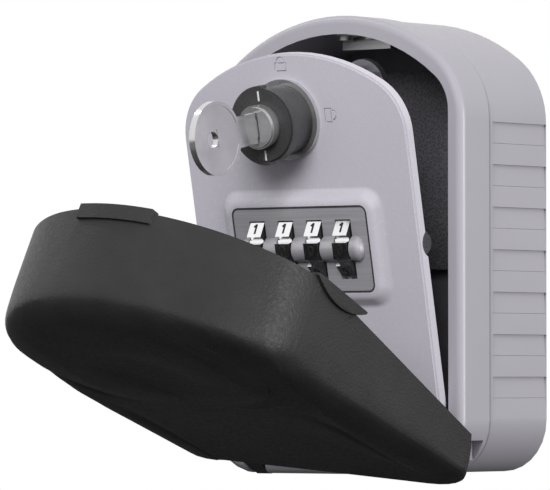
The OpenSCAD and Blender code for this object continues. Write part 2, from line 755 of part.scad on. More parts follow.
module plug_wafers() {
  color("goldenrod") at_lock() wafer_spots() difference() {
    block(-2.2, 2.2, -3.25, 3.25, 0, wafer_t);
    block(-key_slot_w / 2 - 0.05, key_slot_w / 2 + 0.05, -key_slot_h / 2 + 0.1, key_slot_h / 2 - 0.1, -1, 2);
  }
}

module latch_cam() {
  color("gainsboro") at_lock() translate([0, 0, cam_n - cam_t / 2]) rotate([0, 0, cam_rest]) difference() {
    union() {
      cylinder(r = 5.2, h = cam_t);
      translate([0, -cam_r * 0.7, 0]) cube([cam_l, cam_r * 1.4, cam_t]);
      translate([cam_l, 0, 0]) cylinder(r = cam_r, h = cam_t);
    }
    translate([0, 0, -1]) cylinder(r = tail_r, h = cam_t + 2);
  }
}

module cam_screw() {
  color("gray") at_lock() {
    rod_n(screw_r, cam_n - cam_t / 2 - 0.3, cam_n + 2.6);
    rod_n(3.6, cam_n - cam_t / 2 - 1.7, cam_n - cam_t / 2 - 0.3);
  }
}

module service_key() {
  bow_n = plug_face + key_neck + bow_r;
  color("gainsboro") at_lock() rotate([0, 90, 0]) translate([0, 0, -bow_t / 2]) {
    // here x runs into the lock, from the bow back along the blade
    difference() {
      union() {
        translate([-bow_n, 0, 0]) cylinder(r = bow_r, h = bow_t);
        translate([-bow_n, 0, -bow_rim]) difference() {
          cylinder(r = bow_r, h = bow_t + 2 * bow_rim);
          translate([0, 0, -1]) cylinder(r = bow_r - 0.9, h = bow_t + 3);
        }
        block(-bow_n + bow_r * 0.7, -plug_face - 0.4, -blade_h * 0.8, blade_h * 0.8, 0, bow_t);
        block(-bow_n, -plug_face + blade_l - 0.5, -blade_h / 2, blade_h / 2, (bow_t - blade_t) / 2, (bow_t + blade_t) / 2);
      }
      translate([-bow_n - 2, 0, -1]) cylinder(r = bow_hole, h = bow_t + 2);
      for (i = [0:4]) translate([-plug_face + 4 + i * 3.4, blade_h / 2 + 0.5, -1]) rotate([0, 0, 45]) cube([1.8, 1.8, bow_t + 2], center = false);
      for (i = [0:3]) translate([-plug_face + 5.4 + i * 3.6, -blade_h / 2 - 2, -1]) rotate([0, 0, 45]) cube([1.8, 1.8, bow_t + 2], center = false);
    }
  }
}

// weather cover

function smooth(t) = let (c = min(1, max(0, t))) c * c * (3 - 2 * c);
function depth(u) = cover_shallow + (cover_deep - cover_shallow) * smooth((u - cover_bottom) / cover_slope);
// the rim is cut back on a slant at the hinge end
function rim_at(u) = min(max(rim_w + end_lift * smooth((u - end_from) / end_run), (2 - 0.875 * u) / 0.485), depth(u) - edge_t);
function blob(x, u, cx, cu, rx, ru) = let (d = sqrt(pow((x - cx) / rx, 2) + pow((u - cu) / ru, 2))) 1 - smooth((d - 0.55) / 0.45);
function swept(x, u) = let (k = (u - scoop_u) * 0.19) blob(abs(x) + k * 0.55, u, cover_a - 7, scoop_u, 7.5, 30);
function face_w(x, u) = depth(u) - dimple_t * blob(x, u, 0, dimple_u, 17, 15) - scoop_t * swept(x, u);
// outline of the cover, drawn in by d, where q runs from the straight wall (0) to the front face (1)
function cover_ring(q, d) = let (a = cover_a - (cover_side + cover_round) * q)
  tomb(a - d, cover_top - (cover_lean + cover_round) * q - d, cover_bottom + d * 0.3,
    min(cover_sh + 4 * q, a - crown_w) - d, cover_dr + 1 * q - d, cover_foot - d * 0.3);
// the wall is straight as far as the front of the case, and then leans and rounds over to the front face
function lean_from(u) = max(hinge_back + 0.8, depth(u) - cover_roll, rim_at(u) + 0.3);
function wall_ring(t, d) = [for (p = cover_ring(0, d)) [p[0], -(rim_at(p[1]) + (lean_from(p[1]) - rim_at(p[1])) * t), p[1]]];
function edge_ring(a, d, back) = [for (p = cover_ring(1 - cos(a), d)) let (u = p[1], w = lean_from(u)) [p[0], -(w + (depth(u) - back - w) * sin(a)), u]];
function front_ring(s, d, back) = [for (p = cover_ring(1, d)) let (x = p[0] * s, u = mid_u + (p[1] - mid_u) * s) [x, -(face_w(x, u) - back), u]];
mid_u = 60;
front_steps = [0.12, 0.28, 0.44, 0.58, 0.7, 0.8, 0.88, 0.95];
function skin(d, back) = concat([for (s = front_steps) front_ring(s, d, back)], [for (a = [90, 70, 50, 30, 15]) edge_ring(a, d, back)],
  [for (t = [1, 0.5, 0]) wall_ring(t, d)]);
// turned about a line along the rim
function skewed(p) = let (w = -p[1] - rim_w) [p[0] * cos(cover_skew) - w * sin(cover_skew), -(rim_w + p[0] * sin(cover_skew) + w * cos(cover_skew)), p[2]];
function cut_u(x) = cut_mid - cut_slope * x;
function reversed(v) = [for (i = [len(v) - 1:-1:0]) v[i]];

module hood() {
  outer = skin(0, 0);
  inside = reversed(skin(cover_t, cover_t));
  rings = [for (r = concat(outer, inside)) [for (p = r) skewed(p)]];
  np = len(rings[0]);
  nr = len(rings);
  tip_0 = skewed([0, -face_w(0, mid_u), mid_u]);
  tip_1 = skewed([0, -(face_w(0, mid_u) - cover_t), mid_u]);
  polyhedron(points = concat([for (r = rings) for (p = r) p], [tip_0, tip_1]),
    faces = concat([for (i = [0:np - 1]) [(i + 1) % np, i, nr * np]], [for (i = [0:np - 1]) [(nr - 1) * np + i, (nr - 1) * np + (i + 1) % np, nr * np + 1]],
      [for (j = [0:nr - 2]) for (i = [0:np - 1]) let (k = (i + 1) % np) [j * np + i, j * np + k, (j + 1) * np + k]],
      [for (j = [0:nr - 2]) for (i = [0:np - 1]) let (k = (i + 1) % np) [j * np + i, (j + 1) * np + k, (j + 1) * np + i]]));
}

// the same turn for whole pieces of the cover
module skew() {
  translate([0, -rim_w, 0]) rotate([0, 0, -cover_skew]) translate([0, rim_w, 0]) children();
}

module tab_stock(d) {
  slab(tomb(cover_a + d, cover_top + d, cover_bottom - 2, cover_sh + d, cover_dr + d, cover_foot), -rim_w - 9, -rim_w + 9);
}

module weather_cover() {
  reach = cover_shallow - cover_t / 2;
  tilt = tan(cover_skew);
  color("#1b1b1d") at_cover() difference() {
    union() {
      difference() {
        union() {
          hood();
          // pull tab at the end and one at the right side
          skew() difference() {
            intersection() {
              tab_stock(tab_proud);
              union() {
                block(tab_x - tab_l / 2, tab_x + tab_l / 2, -rim_w - end_lift - 3, -rim_w - end_lift + 1, cover_top - 12, cover_top + 5);
                intersection() {
                  block(cover_a - 4, cover_a + 5, -rim_w - tab_deep, -rim_w + 0.6, side_tab_u - tab_l / 2, side_tab_u + tab_l / 2);
                  translate([0, tab_bow - rim_w - tab_deep, side_tab_u]) rod_x(tab_bow, cover_a - 5, cover_a + 6);
                }
              }
            }
            tab_stock(0.3 - cover_t);
          }
        }
        // the skewed hood ends on a slant, clear of the sill
        slab([[-half_w * 2, cut_u(-half_w * 2)], [-half_w * 2, -40], [half_w * 2, -40], [half_w * 2, cut_u(half_w * 2)]], -cover_deep * 2, half_w);
      }
      for (side = [-1, 1]) let (w = reach + side * eye_x * tilt) {
        rod_x(eye_r, side * eye_x - eye_w / 2, side * eye_x + eye_w / 2);
        block(side * eye_x - eye_w / 2, side * eye_x + eye_w / 2, -w, 0, arm_low, arm_top);
        block(side * eye_x - eye_w / 2, side * eye_x + eye_w / 2, -w, -w + 2, arm_low, side > 0 ? 3 : cut_u(eye_w / 2 - eye_x) + arm_lap);
      }
    }
    rod_x(pin_r + pin_gap, -half_w, half_w);
  }
}

case_shell();
back_lining();
foam_pad();
strike_plate();
strike_screws();
hinge_pin();
door_plate();
dial_faceplate();
dial_housing();
housing_cover();
housing_screws();
detent_spring();
lock_sleeve();
sleeve_nut();
number_wheel_1();
number_wheel_2();
number_wheel_3();
number_wheel_4();
wheel_axle();
code_hub_1();
code_hub_2();
code_hub_3();
code_hub_4();
reset_button();
axle_clip();
fence_plate();
knob_grip();
knob_shaft();
eccentric_disc();
shaft_clip();
key_plug();
plug_wafers();
latch_cam();
cam_screw();
service_key();
weather_cover();
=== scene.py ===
"""Looks, light and camera for a wall key cabinet with a number lock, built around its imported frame."""

from __future__ import annotations

import json
import logging
import math
from dataclasses import dataclass, field
from enum import Enum

import bpy
from mathutils import Matrix, Vector
from mathutils.kdtree import KDTree

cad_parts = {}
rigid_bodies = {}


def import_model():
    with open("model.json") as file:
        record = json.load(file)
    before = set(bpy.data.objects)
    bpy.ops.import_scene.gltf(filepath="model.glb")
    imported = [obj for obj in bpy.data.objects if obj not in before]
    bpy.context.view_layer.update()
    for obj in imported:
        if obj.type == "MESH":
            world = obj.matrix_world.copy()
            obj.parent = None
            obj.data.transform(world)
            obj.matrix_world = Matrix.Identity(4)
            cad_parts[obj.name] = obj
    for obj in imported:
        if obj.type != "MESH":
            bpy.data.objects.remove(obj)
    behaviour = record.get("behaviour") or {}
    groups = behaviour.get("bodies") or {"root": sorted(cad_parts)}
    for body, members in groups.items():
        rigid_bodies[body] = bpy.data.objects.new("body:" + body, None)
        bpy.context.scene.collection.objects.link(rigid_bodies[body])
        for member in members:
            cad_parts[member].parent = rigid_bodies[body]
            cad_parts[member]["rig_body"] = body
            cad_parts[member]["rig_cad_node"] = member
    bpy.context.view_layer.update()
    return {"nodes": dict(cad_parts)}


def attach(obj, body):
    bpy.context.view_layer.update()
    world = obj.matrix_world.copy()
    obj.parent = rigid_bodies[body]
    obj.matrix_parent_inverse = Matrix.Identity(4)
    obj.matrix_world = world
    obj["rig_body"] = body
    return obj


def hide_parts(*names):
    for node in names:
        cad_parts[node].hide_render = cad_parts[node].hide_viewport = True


LOG = logging.getLogger("key_cabinet")
MM = 0.001
HINGE = (0.0, -0.036, -0.055)
MERGE_GAP = 0.002 * MM
FLAT_ANGLE = math.radians(0.2)
SHARP_MARGIN = 12.0
WHITE = (1.0, 1.0, 1.0, 1.0)
Colour = tuple[float, float, float]
Pair = tuple[float, float]


class Slot(Enum):
    """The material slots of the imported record."""

    CASE = "case_paint"
    DOOR = "door_paint"
    DIAL = "dial_metal"
    WHEEL = "wheel_chrome"
    BRIGHT = "bright_metal"
    STEEL = "steel"
    BRASS = "brass"
    PLASTIC = "black_plastic"
    RUBBER = "cover_rubber"
    LINING = "lining_black"
    FOAM = "foam"


class Body(Enum):
    """The bodies that new pieces ride on."""

    CASE = "case"
    DOOR = "door"
    COVER = "cover"
    KNOB = "knob"


# finishes


class Graph:
    """A small builder for one procedural material."""

    def __init__(self, name: str) -> None:
        """Start a material with one principled shader.

        Args:
            name: the material's name.
        """
        self.material = bpy.data.materials.new(name)
        self.material.use_nodes = True
        self.tree = self.material.node_tree
        self.tree.nodes.clear()
        self.shader = self.node("ShaderNodeBsdfPrincipled")
        output = self.node("ShaderNodeOutputMaterial")
        self.tree.links.new(self.shader.outputs["BSDF"], output.inputs["Surface"])
        self.place = self.node("ShaderNodeTexCoord").outputs["Object"]

    def node(self, kind: str) -> bpy.types.Node:
        """Add a node of the named kind."""
        return self.tree.nodes.new(kind)

    def constants(self, **values: float | tuple[float, ...]) -> None:
        """Set the shader's own sockets.

        Args:
            values: socket names, with underscores for blanks, and their values.
        """
        for name, value in values.items():
            self.shader.inputs[name.replace("_", " ")].default_value = value

    def stretched(self, scale: tuple[float, float, float], turn_x: float = 0.0) -> bpy.types.NodeSocket:
        """Object coordinates turned about x and then scaled along each axis.

        Args:
            scale: factors along the three axes.
            turn_x: turn about x in radians, made first.

        Returns:
            The vector output.
        """
        turn = self.node("ShaderNodeMapping")
        turn.inputs["Rotation"].default_value = (turn_x, 0.0, 0.0)
        self.tree.links.new(self.place, turn.inputs["Vector"])
        size = self.node("ShaderNodeMapping")
        size.inputs["Scale"].default_value = scale
        self.tree.links.new(turn.outputs["Vector"], size.inputs["Vector"])
        return size.outputs["Vector"]

    def noise(
        self,
        scale: float,
        detail: float = 2.0,
        rough: float = 0.5,
        place: bpy.types.NodeSocket | None = None,
    ) -> bpy.types.NodeSocket:
        """A noise value.

        Args:
            scale: waves to the metre, or to the stretched unit.
            detail: octaves.
            rough: weight of the finer octaves.
            place: coordinates, the object's own if left out.

        Returns:
            The value output.
        """
        made = self.node("ShaderNodeTexNoise")
        made.inputs["Scale"].default_value = scale
        made.inputs["Detail"].default_value = detail
        made.inputs["Roughness"].default_value = rough
        self.tree.links.new(place or self.place, made.inputs["Vector"])
        return made.outputs["Fac"]

    def cells(self, scale: float) -> bpy.types.NodeSocket:
        """Distance to the nearest cell centre, for grain and foam."""
        made = self.node("ShaderNodeTexVoronoi")
        made.inputs["Scale"].default_value = scale
        self.tree.links.new(self.place, made.inputs["Vector"])
        return made.outputs["Distance"]

    def spread(
        self, value: bpy.types.NodeSocket, low: float, high: float, start: float = 0.3, end: float = 0.7
    ) -> bpy.types.NodeSocket:
        """Map a value from start..end to low..high.

        Args:
            value: the value to map.
            low: result at start.
            high: result at end.
            start: lower end of the value.
            end: upper end of the value.

        Returns:
            The mapped output.
        """
        made = self.node("ShaderNodeMapRange")
        for name, number in (("From Min", start), ("From Max", end), ("To Min", low), ("To Max", high)):
            made.inputs[name].default_value = number
        self.tree.links.new(value, made.inputs["Value"])
        return made.outputs["Result"]

    def tint(self, value: bpy.types.NodeSocket, dark: Colour, light: Colour) -> None:
        """Colour the surface between two tones by a value.

        Args:
            value: 0 for dark, 1 for light.
            dark: the darker colour.
            light: the lighter colour.
        """
        made = self.node("ShaderNodeMix")
        made.data_type = "RGBA"
        for socket in made.inputs:
            if socket.type == "RGBA":
                socket.default_value = (*(dark if socket.name == "A" else light), 1.0)
        self.tree.links.new(value, made.inputs["Factor"])
        colour = next(s for s in made.outputs if s.type == "RGBA")
        self.tree.links.new(colour, self.shader.inputs["Base Color"])

    def shade(self, value: bpy.types.NodeSocket, colour: Colour, shades: Pair) -> None:
        """Colour the surface between two shades of one colour by a noise value.

        Args:
            value: the noise value.
            colour: the middle colour.
            shades: factors of the darker and the lighter shade.
        """
        dark, light = shades
        self.tint(self.spread(value, 0.0, 1.0), shaded(colour, dark), shaded(colour, light))

    def rough(self, value: bpy.types.NodeSocket, middle: float, reach: Pair) -> None:
        """Drive the roughness about a middle by a noise value.

        Args:
            value: the noise value.
            middle: the roughness that is varied.
            reach: what is taken off and what is added at most.
        """
        less, more = reach
        varied = self.spread(value, middle - less, middle + more)
        self.tree.links.new(varied, self.shader.inputs["Roughness"])

    def bump(self, *layers: tuple[bpy.types.NodeSocket, float, float]) -> None:
        """Raise the surface by one or more layers.

        Args:
            layers: height, strength and depth in metres of each.
        """
        below = None
        for height, strength, depth in layers:
            made = self.node("ShaderNodeBump")
            made.inputs["Strength"].default_value = strength
            made.inputs["Distance"].default_value = depth
            self.tree.links.new(height, made.inputs["Height"])
            if below is not None:
                self.tree.links.new(below, made.inputs["Normal"])
            below = made.outputs["Normal"]
        if below is not None:
            self.tree.links.new(below, self.shader.inputs["Normal"])


def shaded(colour: Colour, factor: float) -> Colour:
    """The colour made lighter or darker by a factor."""
    return tuple(min(1.0, c * factor) for c in colour)


@dataclass(frozen=True)
class SatinPaint:
    """Sprayed satin paint on a die casting, with a faint peel and cloudiness."""

    name: str
    colour: Colour
    roughness: float
    peel: float
    shine: float = 0.5
    cloud_scale: float = 38.0
    shades: Pair = (0.985, 1.015)
    mottle_scale: float = 700.0
    mottle: Pair = (0.03, 0.04)
    peel_scale: float = 1300.0
    peel_depth: float = 0.06 * MM
    wave_scale: float = 90.0
    wave: float = 0.05
    wave_depth: float = 0.2 * MM

    def build(self) -> bpy.types.Material:
        """Make the material."""
        g = Graph(self.name)
        g.constants(Specular_IOR_Level=self.shine)
        g.shade(g.noise(self.cloud_scale, 3.0), self.colour, self.shades)
        g.rough(g.noise(self.mottle_scale), self.roughness, self.mottle)
        skin = (g.noise(self.peel_scale), self.peel, self.peel_depth)
        waves = (g.noise(self.wave_scale, 1.0), self.wave, self.wave_depth)
        g.bump(skin, waves)
        return g.material


@dataclass(frozen=True)
class BrushedMetal:
    """Metal with fine straight brush lines along x."""

    name: str
    colour: Colour
    roughness: float
    metal: float = 1.0
    brush: tuple[float, float, float] = (40.0, 3600.0, 3600.0)
    shades: Pair = (0.86, 1.12)
    streaks: Pair = (0.06, 0.08)
    lines: float = 0.25
    line_depth: float = 0.03 * MM

    def build(self) -> bpy.types.Material:
        """Make the material."""
        g = Graph(self.name)
        g.constants(Metallic=self.metal)
        fine = g.noise(1.0, 4.0, 0.6, g.stretched(self.brush))
        g.shade(fine, self.colour, self.shades)
        g.rough(fine, self.roughness, self.streaks)
        g.bump((fine, self.lines, self.line_depth))
        return g.material


@dataclass(frozen=True)
class PlatedMetal:
    """Bright plating with faint smears and hairline marks."""

    name: str
    colour: Colour
    roughness: float
    marks: float = 0.06
    metal: float = 1.0
    smear_scale: float = 160.0
    shades: Pair = (0.93, 1.04)
    smears: Pair = (0.0, 0.08)
    hair: tuple[float, float, float] = (900.0, 5200.0, 300.0)
    hair_turn: float = 0.5
    mark_depth: float = 0.02 * MM

    def build(self) -> bpy.types.Material:
        """Make the material."""
        g = Graph(self.name)
        g.constants(Metallic=self.metal)
        smear = g.noise(self.smear_scale, 3.0)
        g.shade(smear, self.colour, self.shades)
        g.rough(smear, self.roughness, self.smears)
        hairlines = g.noise(1.0, 3.0, 0.6, g.stretched(self.hair, self.hair_turn))
        g.bump((hairlines, self.marks, self.mark_depth))
        return g.material


@dataclass(frozen=True)
class WheelChrome:
    """Bright plating on the flats of a number wheel; its sides are coloured near black and not metallic,
    painted shade of the slots they turn in.
    """

    name: str
    colour: Colour
    # near-black colour of the wheel sides: painted shade
    side: Colour
    roughness: float
    side_from: Pair = (0.75, 0.85)
    wear_scale: float = 900.0
    wear: Pair = (0.03, 0.05)

    def build(self) -> bpy.types.Material:
        """Make the material."""
        g = Graph(self.name)
        split = g.node("ShaderNodeSeparateXYZ")
        g.tree.links.new(g.node("ShaderNodeNewGeometry").outputs["True Normal"], split.inputs["Vector"])
        across = g.node("ShaderNodeMath")
        across.operation = "ABSOLUTE"
        g.tree.links.new(split.outputs["X"], across.inputs[0])
        # faces that look along x get the near-black colour and no metal, painted shade; the flats keep the
        # plating
        flat = g.spread(across.outputs[0], 1.0, 0.0, *self.side_from)
        g.tint(flat, self.side, self.colour)
        g.tree.links.new(flat, g.shader.inputs["Metallic"])
        g.rough(g.noise(self.wear_scale), self.roughness, self.wear)
        return g.material


@dataclass(frozen=True)
class MouldedPlastic:
    """Moulded plastic with a fine spark texture."""

    name: str
    colour: Colour
    roughness: float
    grain: float = 0.15
    shine: float = 0.5
    cloud_scale: float = 120.0
    shades: Pair = (0.85, 1.2)
    mottle_scale: float = 1500.0
    mottle: Pair = (0.05, 0.06)
    grain_scale: float = 2600.0
    grain_depth: float = 0.05 * MM

    def build(self) -> bpy.types.Material:
        """Make the material."""
        g = Graph(self.name)
        g.constants(Specular_IOR_Level=self.shine)
        g.shade(g.noise(self.cloud_scale, 3.0), self.colour, self.shades)
        g.rough(g.noise(self.mottle_scale), self.roughness, self.mottle)
        g.bump((g.noise(self.grain_scale), self.grain, self.grain_depth))
        return g.material


@dataclass(frozen=True)
class GrainedRubber:
    """Soft black rubber with a pebbled grain and a dusty sheen."""

    name: str
    colour: Colour
    roughness: float
    grain: float = 0.6
    shine: float = 0.26
    cloud_scale: float = 55.0
    shades: Pair = (0.8, 1.25)
    mottle_scale: float = 900.0
    mottle: Pair = (0.06, 0.06)
    pebble_scale: float = 1500.0
    pebble_depth: float = 0.08 * MM
    fine_scale: float = 2800.0
    fine: float = 0.25
    fine_depth: float = 0.05 * MM

    def build(self) -> bpy.types.Material:
        """Make the material."""
        g = Graph(self.name)
        g.constants(Specular_IOR_Level=self.shine)
        g.shade(g.noise(self.cloud_scale, 4.0, 0.6), self.colour, self.shades)
        g.rough(g.noise(self.mottle_scale), self.roughness, self.mottle)
        pebbles = (g.cells(self.pebble_scale), self.grain, self.pebble_depth)
        grains = (g.noise(self.fine_scale), self.fine, self.fine_depth)
        g.bump(pebbles, grains)
        return g.material


@dataclass(frozen=True)
class CellFoam:
    """Open cell foam."""

    name: str
    colour: Colour
    roughness: float = 0.85
    shine: float = 0.2
    cell: float = 1400.0
    pore_end: float = 0.6
    shades: Pair = (0.55, 1.2)
    mottle_scale: float = 500.0
    mottle: Pair = (0.0, 0.15)
    pores: float = 0.6
    pore_depth: float = 0.3 * MM
    lump_scale: float = 300.0
    lumps: float = 0.3
    lump_depth: float = 0.4 * MM

    def build(self) -> bpy.types.Material:
        """Make the material."""
        g = Graph(self.name)
        g.constants(Specular_IOR_Level=self.shine)
        pore = g.cells(self.cell)
        dark, light = (shaded(self.colour, shade) for shade in self.shades)
        g.tint(g.spread(pore, 0.0, 1.0, 0.0, self.pore_end), dark, light)
        g.rough(g.noise(self.mottle_scale), self.roughness, self.mottle)
        lumps = (g.noise(self.lump_scale, 3.0), self.lumps, self.lump_depth)
        g.bump((pore, self.pores, self.pore_depth), lumps)
        return g.material


@dataclass(frozen=True)
class PrintInk:
    """A thin layer of filled or printed paint."""

    name: str
    colour: Colour
    roughness: float = 0.45
    cloud_scale: float = 900.0
    shades: Pair = (0.85, 1.15)
    mottle_scale: float = 2000.0
    mottle: Pair = (0.08, 0.08)

    def build(self) -> bpy.types.Material:
        """Make the material."""
        g = Graph(self.name)
        g.shade(g.noise(self.cloud_scale, 3.0), self.colour, self.shades)
        g.rough(g.noise(self.mottle_scale), self.roughness, self.mottle)
        return g.material


Metal = BrushedMetal | PlatedMetal | WheelChrome
Finish = Metal | SatinPaint | MouldedPlastic | GrainedRubber | CellFoam | PrintInk


@dataclass
class Palette:
    """Every finish of the cabinet: one for each slot, the two inks and the latch cam's plating."""

    finishes: dict[Slot, Finish] = field(
        default_factory=lambda: {
            # The case and the door wear one paint; the door's colour is set lighter and the case's darker
            # so each shows the tone it has under these lamps: painted light on the door, painted shade on
            # the case.
            Slot.CASE: SatinPaint("silver_paint_shaded_case", (0.365, 0.352, 0.393), 0.34, peel=0.04),
            Slot.DOOR: SatinPaint("silver_paint_lit_door", (0.54, 0.521, 0.583), 0.25, peel=0.02),
            Slot.DIAL: BrushedMetal("brushed_dial_plate", (0.42, 0.41, 0.44), 0.42, metal=0.35),
            # the wheel's second colour is painted shade on its sides
            Slot.WHEEL: WheelChrome("wheel_plating", (0.9, 0.9, 0.91), (0.02, 0.02, 0.022), 0.14),
            Slot.BRIGHT: PlatedMetal("bright_plating", (0.66, 0.655, 0.665), 0.16, metal=0.85),
            Slot.STEEL: BrushedMetal("zinc_plated_steel", (0.45, 0.45, 0.46), 0.34),
            Slot.BRASS: BrushedMetal("turned_brass", (0.55, 0.38, 0.15), 0.3),
            Slot.PLASTIC: MouldedPlastic("black_knob_plastic", (0.046, 0.046, 0.048), 0.30),
            Slot.RUBBER: GrainedRubber("black_cover_rubber", (0.022, 0.0215, 0.022), 0.46),
            Slot.LINING: MouldedPlastic("black_lining_plastic", (0.12, 0.115, 0.128), 0.5, 0.3, 0.3),
            Slot.FOAM: CellFoam("dark_foam", (0.11, 0.106, 0.119)),
        }
    )
    dark_ink: PrintInk = PrintInk("black_digit_ink", (0.008, 0.008, 0.009))
    pale_ink: PrintInk = PrintInk("white_index_ink", (0.75, 0.75, 0.76))
    polished: PlatedMetal = PlatedMetal("cam_plating", (0.88, 0.88, 0.89), 0.1, 0.15)
    polished_nodes: tuple[str, ...] = ("latch_cam", "cam_screw")
    made: dict[str, bpy.types.Material] = field(default_factory=dict)

    def material(self, finish: Finish) -> bpy.types.Material:
        """The finish's material, made on first use."""
        if finish.name not in self.made:
            self.made[finish.name] = finish.build()
        return self.made[finish.name]

    def dress(self, piece: bpy.types.Object, finish: Finish) -> None:
        """Give every slot of a piece one finish."""
        material = self.material(finish)
        if not piece.material_slots:
            piece.data.materials.append(material)
        for place in piece.material_slots:
            place.material = material

    def dress_nodes(self, nodes: dict[str, bpy.types.Object]) -> None:
        """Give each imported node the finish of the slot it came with."""
        known = {slot.value: slot for slot in Slot}
        for name, node in nodes.items():
            if name in self.polished_nodes:
                self.dress(node, self.polished)
                continue
            for place in node.material_slots:
                slot = known.get(place.material.name.split(".")[0]) if place.material else None
                if slot is not None:
                    place.material = self.material(self.finishes[slot])


# modelling tools


def only(piece: bpy.types.Object) -> None:
    """Select one object alone and make it active."""
    bpy.ops.object.select_all(action="DESELECT")
    piece.select_set(True)
    bpy.context.view_layer.objects.active = piece


def active(name: str) -> bpy.types.Object:
    """Name the active object and its mesh, and return it."""
    piece = bpy.context.view_layer.objects.active
    piece.name = name
    piece.data.name = name
    return piece


def settle(piece: bpy.types.Object) -> None:
    """Move an object's place, turn and scale into its mesh."""
    only(piece)
    bpy.ops.object.transform_apply(location=True, rotation=True, scale=True)


def finish_modifiers(piece: bpy.types.Object) -> None:
    """Apply every modifier of a piece in order."""
    only(piece)
    for modifier in list(piece.modifiers):
        bpy.ops.object.modifier_apply(modifier=modifier.name)


def soften(piece: bpy.types.Object, width: float, steps: int, angle: float) -> None:
    """Round the edges of a piece and smooth its shading.

    Args:
        piece: the mesh to finish.
        width: width of the rounding in metres.
        steps: segments across the rounding.
        angle: least edge angle that is rounded or kept sharp, in degrees.
    """
    rounding = piece.modifiers.new("rounding", "BEVEL")
    rounding.width = width
    rounding.segments = steps
    rounding.limit_method = "ANGLE"
    rounding.angle_limit = math.radians(angle)
    rounding.use_clamp_overlap = True
    finish_modifiers(piece)
    bpy.ops.object.shade_smooth_by_angle(angle=math.radians(angle + SHARP_MARGIN))
    weighted = piece.modifiers.new("weighted", "WEIGHTED_NORMAL")
    weighted.keep_sharp = True
    finish_modifiers(piece)


def merged_copy(node: bpy.types.Object, name: str) -> bpy.types.Object:
    """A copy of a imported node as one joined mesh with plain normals.

    Args:
        node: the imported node, which is left as it is.
        name: the copy's name.

    Returns:
        The copy, on no body.
    """
    only(node)
    bpy.ops.object.duplicate(linked=False)
    copy = active(name)
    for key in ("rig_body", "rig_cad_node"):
        if key in copy:
            del copy[key]
    copy.parent = None
    bpy.ops.object.mode_set(mode="EDIT")
    bpy.ops.mesh.select_all(action="SELECT")
    bpy.ops.mesh.customdata_custom_splitnormals_clear()
    bpy.ops.mesh.remove_doubles(threshold=MERGE_GAP)
    bpy.ops.mesh.dissolve_limited(angle_limit=FLAT_ANGLE)
    bpy.ops.object.mode_set(mode="OBJECT")
    return copy


def joined(parts: list[bpy.types.Object], name: str) -> bpy.types.Object:
    """Join meshes into the first of them and name the result."""
    bpy.ops.object.select_all(action="DESELECT")
    for part in parts:
        part.select_set(True)
    bpy.context.view_layer.objects.active = parts[0]
    bpy.ops.object.join()
    return active(name)


def place_piece(piece: bpy.types.Object, body: Body, slot: Slot | None, *stands_for: str) -> None:
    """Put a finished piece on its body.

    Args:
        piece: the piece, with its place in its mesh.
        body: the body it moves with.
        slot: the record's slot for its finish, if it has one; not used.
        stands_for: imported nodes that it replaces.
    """
    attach(piece, body.value)
    if stands_for:
        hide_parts(*stands_for)
    LOG.info("%s rides on %s", piece.name, body.value)


@dataclass(frozen=True)
class DoorPlane:
    """The open door's own axes, from the hinge line."""

    hinge: Vector = field(default_factory=lambda: Vector(HINGE))
    out: Vector = field(default_factory=lambda: Vector((0.0, -0.9799247, -0.19936793)))
    up: Vector = field(default_factory=lambda: Vector((0.0, -0.19936793, 0.9799247)))

    def point(self, x: float, out: float, up: float) -> Vector:
        """The point at x across, out from the hinge line and up the door, in metres."""
        return self.hinge + Vector((x, 0.0, 0.0)) + self.out * out + self.up * up

    def turned(self, angle: float) -> tuple[Vector, Vector]:
        """The outward and upward directions tipped up by an angle in radians."""
        out = self.out * math.cos(angle) + self.up * math.sin(angle)
        up = self.up * math.cos(angle) - self.out * math.sin(angle)
        return out, up

    def matrix(self, centre: Vector, angle: float = 0.0) -> Matrix:
        """A frame with x across, y up and z out of the door, at a centre.

        Args:
            centre: the frame's origin.
            angle: tip about x in radians.

        Returns:
            The 4 by 4 matrix.
        """
        out, up = self.turned(angle)
        turn = Matrix((Vector((1.0, 0.0, 0.0)), up, out)).transposed()
        return Matrix.Translation(centre) @ turn.to_4x4()


# sub-assemblies


@dataclass
class CaseGroup:
    """The die-cast case with its foam pad."""

    edge_round: float = 0.22 * MM
    edge_steps: int = 2
    edge_angle: float = 32.0
    foam_round: float = 0.9 * MM
    foam_steps: int = 3
    foam_angle: float = 40.0

    def build(self, nodes: dict[str, bpy.types.Object], palette: Palette) -> list[bpy.types.Object]:
        """Make and dress the case's pieces.

        Args:
            nodes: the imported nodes.
            palette: the finishes.

        Returns:
            The new pieces.
        """
        shell = merged_copy(nodes["case_shell"], "case_casting")
        soften(shell, self.edge_round, self.edge_steps, self.edge_angle)
        palette.dress(shell, palette.finishes[Slot.CASE])
        place_piece(shell, Body.CASE, Slot.CASE, "case_shell")
        foam = self.foam(nodes)
        palette.dress(foam, palette.finishes[Slot.FOAM])
        place_piece(foam, Body.CASE, Slot.FOAM, "foam_pad")
        return [shell, foam]

    def foam(self, nodes: dict[str, bpy.types.Object]) -> bpy.types.Object:
        """The foam pad, a die-cut sheet with soft edges."""
        pad = merged_copy(nodes["foam_pad"], "foam_liner")
        soften(pad, self.foam_round, self.foam_steps, self.foam_angle)
        return pad


@dataclass
class DoorGroup:
    """The door leaf with its raised dial field."""

    edge_round: float = 0.3 * MM
    edge_steps: int = 2
    edge_angle: float = 32.0

    def build(self, nodes: dict[str, bpy.types.Object], palette: Palette) -> list[bpy.types.Object]:
        """Make and dress the door's pieces.

        Args:
            nodes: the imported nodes.
            palette: the finishes.

        Returns:
            The new pieces.
        """
        leaf = merged_copy(nodes["door_plate"], "door_leaf")
        soften(leaf, self.edge_round, self.edge_steps, self.edge_angle)
        palette.dress(leaf, palette.finishes[Slot.DOOR])
        place_piece(leaf, Body.DOOR, Slot.DOOR, "door_plate")
        return [leaf]


